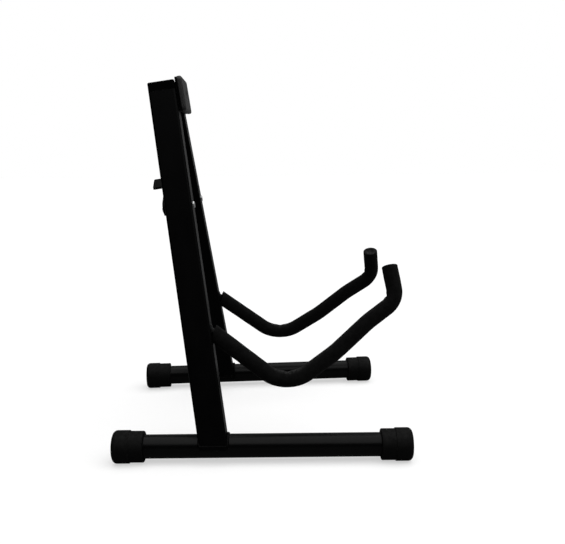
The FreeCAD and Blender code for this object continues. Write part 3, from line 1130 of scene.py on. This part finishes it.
    def build(self) -> bpy.types.Object:
        """Make the sleeve and dress it.

        Returns:
            The piece.
        """
        bm = bmesh.new()
        skin = self.sweep(bm, self.radius, self.sides, self.tip_rounding)
        self.soften(skin)
        self.round_tip(skin)
        bore = self.sweep(bm, self.bore, self.sides // 2, self.rod_short_of_tip)
        self.flare_bore(bore)
        bore.close()
        rims = loop_edges(skin.rings[0].verts) + loop_edges(bore.rings[0].verts)
        bmesh.ops.bridge_loops(bm, edges=rims)
        slant = math.radians(self.cut_slant_deg)
        upper = Vector((0, -self.cut_forwards, self.radius - self.bends[0].below_hinge)) * MM
        cut_away(bm, upper, Vector((0, math.cos(slant), math.sin(slant))))
        leg_face = Vector((0, -(self.leg_front + self.leg_gap), 0)) * MM
        cut_away(bm, leg_face, Vector((0, 1, 0)))
        name = f"{self.side.value}_foam_sleeve"
        piece = finished(bm, name, leg_frame(self.side), self.cut_sharp_deg)
        SLEEVE_FOAM.dress(piece)
        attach(piece, f"{self.side.value}_leg")
        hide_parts(f"{self.side.value}_arm_foam")
        return piece


class End(Enum):
    """An end of a base tube: how far forwards it points."""

    FRONT = 1
    REAR = -1


@dataclass
class RubberFoot:
    """The moulded rubber cap on one end of a base tube. Sizes in millimetres."""

    side: Side
    end: End
    radius: float = 17.3
    collar_radius: float = 16.4
    collar_length: float = 15.0
    length: float = 33.0
    bore: float = 12.52
    end_wall: float = 3.0
    end_rounding: float = 5.0
    lip_rounding: float = 1.1
    step_rounding: float = 0.5
    dish_radius: float = 8.5
    dish_depth: float = 0.5
    gate_radius: float = 1.3
    gate_height: float = 0.3
    flash_height: float = 0.14
    flash_half_width: float = 0.2
    least_wall: float = 2.0
    steps: int = 120
    sharp_deg: float = 30.0

    def stem(self) -> str:
        """Give the beginning of the names of this cap's node and piece."""
        return f"{self.side.value}_{self.end.name.lower()}"

    def profile(self) -> list[Corner]:
        """List the section's corners from the inside of the end wall round to its outside.

        Returns:
            The corners, in metres.
        """
        inner_end = self.length - self.end_wall
        floor_of_dish = self.length - self.dish_depth
        gate_top = floor_of_dish + self.gate_height
        rows = (
            (0.0, inner_end, 0.0),
            (self.bore, inner_end, 0.0),
            (self.bore, 0.0, self.lip_rounding / 2),
            (self.collar_radius, 0.0, self.lip_rounding),
            (self.collar_radius, self.collar_length, self.step_rounding / 2),
            (self.radius, self.collar_length, self.step_rounding),
            (self.radius, self.length, self.end_rounding),
            (self.dish_radius, self.length, self.dish_depth / 2),
            (self.dish_radius - self.dish_depth, floor_of_dish, 0.0),
            (self.gate_radius, floor_of_dish, 0.0),
            (self.gate_radius, gate_top, self.gate_height / 2),
            (0.0, gate_top, 0.0),
        )
        return [Corner(Vector((r, 0, z)) * MM, rounding * MM) for r, z, rounding in rows]

    def raise_flash(self, bm: BMesh) -> None:
        """Raise the mould's parting line along the top and bottom of the cap.

        Args:
            bm: The cap in its own frame.
        """
        outer = (self.bore + self.least_wall) * MM
        for vert in bm.verts:
            outside = math.hypot(vert.co.x, vert.co.y) > outer
            if outside and abs(vert.co.x) < self.flash_half_width * MM:
                vert.co.y += math.copysign(self.flash_height * MM, vert.co.y)

    def place(self) -> Matrix:
        """Find the cap's frame: origin at its mouth, Y upwards, Z outwards along the tube.

        Returns:
            The matrix from the cap's frame to the row frame.
        """
        low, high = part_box(f"{self.side.value}_base_tube")
        middle = (low + high) / 2
        outwards = leg_frame(self.side).to_3x3().col[0]
        along = outwards.cross(UP).normalized()
        along *= math.copysign(1.0, -along.y) * self.end.value
        cap = frame["nodes"][f"{self.stem()}_cap"]
        reach = max((vertex.co - middle).dot(along) for vertex in cap.data.vertices)
        mouth = middle + along * (reach - self.length * MM)
        return frame_matrix(mouth, UP.cross(along), UP, along)

    def build(self) -> bpy.types.Object:
        """Make the cap, stand it on its flat, and dress it.

        Returns:
            The piece.
        """
        bm = turned(self.profile(), self.steps)
        self.raise_flash(bm)
        bmesh.ops.transform(bm, matrix=self.place(), verts=bm.verts[:])
        cut_away(bm, Vector(), -UP)
        piece = finished(bm, f"{self.stem()}_foot", Matrix(), self.sharp_deg)
        FOOT_RUBBER.dress(piece)
        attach(piece, f"{self.side.value}_leg")
        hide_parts(f"{self.stem()}_cap")
        return piece


@dataclass
class HeadPad:
    """The rubber pad on the hinge plate, which the back of the guitar rests against. In millimetres."""

    corner: float = 4.5
    corner_segments: int = 10
    front_rounding: float = 2.0
    back_rounding: float = 0.6
    screw_well: float = 5.4
    well_depth: float = 3.8
    shank_hole: float = 2.6
    hole_sides: int = 48
    voxel: float = 0.55
    smoothing: int = 3
    crown: float = 0.5
    dimple: float = 0.45
    dimple_radius: float = 10.0
    sharp_deg: float = 60.0

    def block(self, low: Vector, high: Vector) -> BMesh:
        """Make the rounded block.

        Args:
            low: The block's lowest corner in the head's frame.
            high: Its highest corner.

        Returns:
            The block as a closed mesh.
        """
        bm = bmesh.new()
        size = high - low
        place = Matrix.Translation((low + high) / 2) @ Matrix.Diagonal((*size, 1.0))
        bmesh.ops.create_cube(bm, size=1.0, matrix=place)
        through = [e for e in bm.edges if abs(e.verts[0].co.y - e.verts[1].co.y) > MERGE_DISTANCE]
        rounded(bm, through, self.corner * MM, self.corner_segments)
        for depth, rounding in ((low.y, self.front_rounding), (high.y, self.back_rounding)):
            rounded(bm, edges_at(bm, depth), rounding * MM, ROUND_SEGMENTS)
        return bm

    def sink_well(self, bm: BMesh, centre: Vector, low: Vector, high: Vector) -> None:
        """Sink the screw's stepped hole through the block.

        Args:
            bm: The block.
            centre: The screw's middle, in the head's frame.
            low: The block's lowest corner.
            high: Its highest corner.
        """
        front = self.face_at(bm, low.y)
        back = self.face_at(bm, high.y)
        bmesh.ops.delete(bm, geom=[front, back], context="FACES_ONLY")
        well_floor = low.y + self.well_depth * MM
        facing = Matrix.Rotation(math.pi / 2, 4, "X")
        rings = []
        for depth, radius in (
            (low.y, self.screw_well), (well_floor, self.screw_well),
            (well_floor, self.shank_hole), (high.y, self.shank_hole),
        ):
            place = Matrix.Translation((centre.x, depth, centre.z)) @ facing
            made = bmesh.ops.create_circle(bm, segments=self.hole_sides, radius=radius * MM, matrix=place)
            rings.append(loop_edges(made["verts"]))
        for near, far in zip(rings, rings[1:]):
            bmesh.ops.bridge_loops(bm, edges=near + far)
        for depth, normal in ((low.y, -1), (high.y, 1)):
            rim = [edge for edge in edges_at(bm, depth) if len(edge.link_faces) == 1]
            bmesh.ops.triangle_fill(bm, edges=rim, use_beauty=True, normal=(0, normal, 0))

    @staticmethod
    def face_at(bm: BMesh, depth: float) -> BMFace:
        """Find the large flat face at one depth."""
        flat = [f for f in bm.faces if abs(f.calc_center_median().y - depth) < MERGE_DISTANCE]
        return max(flat, key=lambda face: face.calc_area())

    def crown_front(self, bm: BMesh, centre: Vector, low: Vector, high: Vector) -> None:
        """Swell the front face, and pull it in round the screw.

        Args:
            bm: The pad's skin.
            centre: The screw's middle, in the head's frame.
            low: The pad's lowest corner.
            high: Its highest corner.
        """
        half = (high - low) / 2
        for vert in bm.verts:
            forwards = min(1.0, max(0.0, (high.y - vert.co.y) / (high.y - low.y)))
            across = 1 - min(1.0, abs(vert.co.x - centre.x) / half.x) ** 2
            upright = 1 - min(1.0, abs(vert.co.z - centre.z) / half.z) ** 2
            from_screw = math.hypot(vert.co.x - centre.x, vert.co.z - centre.z)
            pull = math.exp(-((from_screw / (self.dimple_radius * MM)) ** 2))
            vert.co.y -= forwards * (self.crown * across * upright - self.dimple * pull) * MM

    def build(self) -> bpy.types.Object:
        """Make the pad and dress it.

        Returns:
            The piece.
        """
        head = head_frame()
        low, high = extent("top_pad", head)
        screw_low, screw_high = extent("pad_screw", head)
        centre = (screw_low + screw_high) / 2
        bm = self.block(low, high)
        self.sink_well(bm, centre, low, high)
        skin = voxel_skin(bm, self.voxel * MM, self.smoothing)
        self.crown_front(skin, centre, low, high)
        piece = finished(skin, "neck_pad", head, self.sharp_deg)
        PAD_RUBBER.dress(piece)
        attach(piece, "head")
        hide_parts("top_pad")
        return piece


@dataclass
class WeldBead:
    """A rippled weld bead: overlapping puddles laid one after another. Sizes in millimetres.

    The puddles' wandering and uneven size are read off two lines through a noise, a step at a time.
    """

    radius: float = 1.7
    spacing: float = 1.1
    thickness: float = 1.1
    voxel: float = 0.3
    tilt_deg: float = 24.0
    wander: float = 0.16
    wander_step: float = 0.73
    wander_line: tuple[float, float] = (0.3, 0.9)
    unevenness: float = 0.09
    unevenness_step: float = 0.61
    unevenness_line: tuple[float, float] = (2.7, 0.1)
    seed: int = 7
    smoothing: int = 1

    def lay(self, route: Sequence[tuple[Vector, Vector]]) -> BMesh:
        """Lay the puddles along a route.

        Args:
            route: Points in metres, each with the direction in which the bead goes there.

        Returns:
            The bead as one closed skin.
        """
        noise.seed_set(self.seed)
        bm = bmesh.new()
        for index, (point, heading) in enumerate(route):
            wander_point = Vector((index * self.wander_step, *self.wander_line))
            shake = noise.noise_vector(wander_point) * self.wander * MM
            size_point = Vector((index * self.unevenness_step, *self.unevenness_line))
            size = self.radius * (1 + self.unevenness * noise.noise(size_point)) * MM
            facing = heading.to_track_quat("Z", "X").to_matrix().to_4x4()
            lean = Matrix.Rotation(math.radians(self.tilt_deg), 4, "X")
            shape = Matrix.Diagonal((size, size, self.thickness * MM, 1.0))
            place = Matrix.Translation(point + shake) @ facing @ lean @ shape
            bmesh.ops.create_icosphere(bm, subdivisions=2, radius=1.0, matrix=place)
        return voxel_skin(bm, self.voxel * MM, self.smoothing)


@dataclass
class Weld(ABC):
    """A weld on a leg. Each kind says where it is, what its bead is like and what covers it."""

    side: Side
    joint: ClassVar[str]
    bead: ClassVar[WeldBead]
    finish: ClassVar[Finish]
    sharp_deg: float = 70.0

    @abstractmethod
    def route(self) -> list[tuple[Vector, Vector]]:
        """Lay out the bead in the leg's frame: points in metres, each with the way on from there."""

    def build(self) -> bpy.types.Object:
        """Lay the bead and dress it.

        Returns:
            The piece.
        """
        name = f"{self.side.value}_{self.joint}"
        bead = self.bead.lay(self.route())
        piece = finished(bead, f"{name}_bead", leg_frame(self.side), self.sharp_deg)
        self.finish.dress(piece)
        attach(piece, f"{self.side.value}_leg")
        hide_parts(f"{name}_weld")
        return piece


@dataclass
class FootWeld(Weld):
    """The weld that joins a leg to its base tube. Sizes in millimetres."""

    joint = "foot"
    bead = WeldBead()
    finish = SATIN_BLACK
    leg_depth: float = 30.0
    from_axis: float = 12.8

    def route(self) -> list[tuple[Vector, Vector]]:
        """Go once round the leg's foot: along both sides, and over the tube in front and behind.

        Returns:
            Points in metres, each with the way on from there.
        """
        low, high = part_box(f"{self.side.value}_base_tube")
        to_leg = leg_frame(self.side).inverted()
        axis_point = to_leg @ ((low + high) / 2)
        outwards = RIGHT
        along = outwards.cross(to_leg.to_3x3() @ UP).normalized()
        along = along if along.y < 0 else -along
        foot = axis_point - along * (axis_point.y / along.y)
        upwards = outwards.cross(along).normalized()
        upwards = upwards if upwards.z > 0 else -upwards
        reach = self.leg_depth / 2 * MM
        radius = self.from_axis * MM
        straight = max(2, round(self.leg_depth / self.bead.spacing))
        arc = max(2, round(math.pi * self.from_axis / self.bead.spacing))
        points = []
        for sign in (1, -1):
            for step in range(straight):
                share = (step / straight - 0.5) * 2 * reach * sign
                points.append((foot + outwards * (radius * sign) + along * share, along * sign))
            for step in range(arc):
                angle = math.pi * step / arc
                spoke = outwards * (math.cos(angle) * sign) + upwards * math.sin(angle)
                heading = outwards * (-math.sin(angle) * sign) + upwards * math.cos(angle)
                points.append((foot + along * (reach * sign) + spoke * radius, heading))
        return points


@dataclass
class ArmWeld(Weld):
    """The weld that joins an arm's rod to its leg. Sizes in millimetres."""

    joint = "arm"
    bead = WeldBead(radius=1.3, spacing=0.9, voxel=0.25)
    finish = GLOSS_BLACK
    rod_radius: float = 4.0
    reach: float = 0.5
    proud: float = 0.2

    def route(self) -> list[tuple[Vector, Vector]]:
        """Go once round the rod where it meets the leg's front face.

        Returns:
            Points in metres, each with the way on from there.
        """
        sleeve = FoamSleeve(self.side)
        corners = sleeve.route()
        heading = (corners[1].place - corners[0].place).normalized()
        face = -(sleeve.leg_front + self.proud) * MM
        upright = RIGHT.cross(heading).normalized()
        across = heading.cross(upright).normalized()
        ring = (self.rod_radius + self.reach) * MM
        count = round(math.tau * ring / (self.bead.spacing * MM))
        points = []
        for step in range(count):
            angle = math.tau * step / count
            spoke = across * math.cos(angle) + upright * math.sin(angle)
            on_rod = corners[0].place + spoke * ring
            point = on_rod + heading * ((face - on_rod.y) / heading.y)
            tangent = upright * math.cos(angle) - across * math.sin(angle)
            points.append((point, tangent))
        return points


def dress_frame_nodes() -> None:
    """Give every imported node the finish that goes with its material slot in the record."""
    for row in frame["record"]["subparts"]:
        finish = FINISH_OF_SLOT[row["material_slot"]]
        finish.dress(frame["nodes"][row["node"]])
        log.info("%s: %s", row["node"], finish.name)


# ---------------------------------------------------------------- the studio


@dataclass
class Studio:
    """A plain pale floor, soft light from above, and the camera."""

    floor_half_size: float = 12.0
    floor_drop: float = 0.00005
    floor_seen: Colour = (0.45, 0.45, 0.45)
    floor_glow: float = 0.56
    floor_elsewhere: Colour = (0.25, 0.25, 0.25)
    floor_roughness: float = 0.9
    cloud_scale: float = 3.0
    cloud_detail: float = 3.0
    cloud_tint: float = 0.985
    sun_strength: float = 3.5
    sun_spread_deg: float = 95.0
    sun_tilt_deg: tuple[float, float] = (14.0, -10.0)
    far_side: tuple[float, float] = (0.55, 1.0)
    surroundings: tuple[float, float] = (0.025, 0.35)
    backdrop: float = 1.0
    camera_place: tuple[float, float, float] = (-0.9001, 0.0069, 0.3162)
    camera_yaw_deg: float = 2.243
    camera_pitch_deg: float = 8.578
    camera_roll_deg: float = -0.625
    lens: float = 48.22
    sensor: float = 36.0
    nearest: float = 0.01

    def build(self) -> None:
        """Set the whole studio up."""
        self.lay_floor()
        self.light()
        self.aim_camera()
        bpy.context.scene.view_settings.view_transform = "Standard"

    def lay_floor(self) -> None:
        """Lay a floor that looks white, yet lights the stand no more than a grey one would."""
        bm = bmesh.new()
        place = Matrix.Translation((0, 0, -self.floor_drop))
        bmesh.ops.create_grid(bm, x_segments=1, y_segments=1, size=self.floor_half_size, matrix=place)
        floor = finished(bm, "floor", Matrix())
        made = bpy.data.materials.new("pale floor")
        made.use_nodes = True
        tree = Tree(made.node_tree)
        shader = made.node_tree.nodes["Principled BSDF"]
        shader.inputs["Specular IOR Level"].default_value = 0.0
        shader.inputs["Roughness"].default_value = self.floor_roughness
        shader.inputs["Emission Strength"].default_value = self.floor_glow
        seen = tree.add("ShaderNodeLightPath").outputs["Is Camera Ray"]
        cloud = tree.stretched(tree.noise(self.cloud_scale, self.cloud_detail))
        tone = tree.mix(cloud, rgba(self.floor_seen), rgba(self.floor_seen, self.cloud_tint))
        base = tree.mix(seen, rgba(self.floor_elsewhere), tone)
        glow = tree.mix(seen, rgba(BLACK), rgba(WHITE))
        tree.tree.links.new(base, shader.inputs["Base Color"])
        tree.tree.links.new(glow, shader.inputs["Emission Color"])
        floor.data.materials.append(made)

    def light(self) -> None:
        """Hang one very soft light overhead; beyond the stand the room is brighter than elsewhere."""
        sun = bpy.data.lights.new("overhead softbox", "SUN")
        sun.energy = self.sun_strength
        sun.angle = math.radians(self.sun_spread_deg)
        lamp = bpy.data.objects.new("overhead softbox", sun)
        lamp.rotation_euler = [math.radians(turn) for turn in (*self.sun_tilt_deg, 0.0)]
        bpy.context.scene.collection.objects.link(lamp)
        world = bpy.data.worlds.new("studio")
        world.use_nodes = True
        bpy.context.scene.world = world
        tree = Tree(world.node_tree)
        world.node_tree.nodes.clear()
        direction = tree.add("ShaderNodeTexCoord").outputs["Generated"]
        sideways = tree.add("ShaderNodeSeparateXYZ", {0: direction}).outputs[0]
        room = tree.remap(sideways, *self.far_side, *self.surroundings)
        dim = tree.add("ShaderNodeBackground", {"Strength": room})
        white = tree.add("ShaderNodeBackground", {"Strength": self.backdrop})
        for background in (dim, white):
            background.inputs["Color"].default_value = rgba(WHITE)
        seen = tree.add("ShaderNodeLightPath").outputs["Is Camera Ray"]
        both = tree.add("ShaderNodeMixShader", {0: seen, 1: dim.outputs[0], 2: white.outputs[0]})
        tree.add("ShaderNodeOutputWorld", {"Surface": both.outputs[0]})

    def aim_camera(self) -> None:
        """Stand the camera at the stand's left, level with its middle."""
        data = bpy.data.cameras.new("camera")
        data.lens = self.lens
        data.sensor_width = self.sensor
        data.clip_start = self.nearest
        camera = bpy.data.objects.new("camera", data)
        pan = Matrix.Rotation(math.radians(-90 - self.camera_yaw_deg), 4, "Z")
        tip = Matrix.Rotation(math.radians(90 - self.camera_pitch_deg), 4, "X")
        roll = Matrix.Rotation(math.radians(self.camera_roll_deg), 4, "Z")
        camera.matrix_world = Matrix.Translation(self.camera_place) @ pan @ tip @ roll
        bpy.context.scene.collection.objects.link(camera)
        bpy.context.scene.camera = camera


def main() -> None:
    """Build the studio and every piece, and note the sizes."""
    logging.basicConfig(level=logging.INFO, format="%(name)s: %(message)s")
    Studio().build()
    dress_frame_nodes()
    makers: list[HeadPad | FoamSleeve | Weld | RubberFoot] = [HeadPad()]
    for side in Side:
        makers += [FoamSleeve(side), FootWeld(side), ArmWeld(side)]
        makers += [RubberFoot(side, end) for end in End]
    for maker in makers:
        piece = maker.build()
        log.info("%s: %d faces", piece.name, len(piece.data.polygons))


if __name__ == "__main__":
    main()
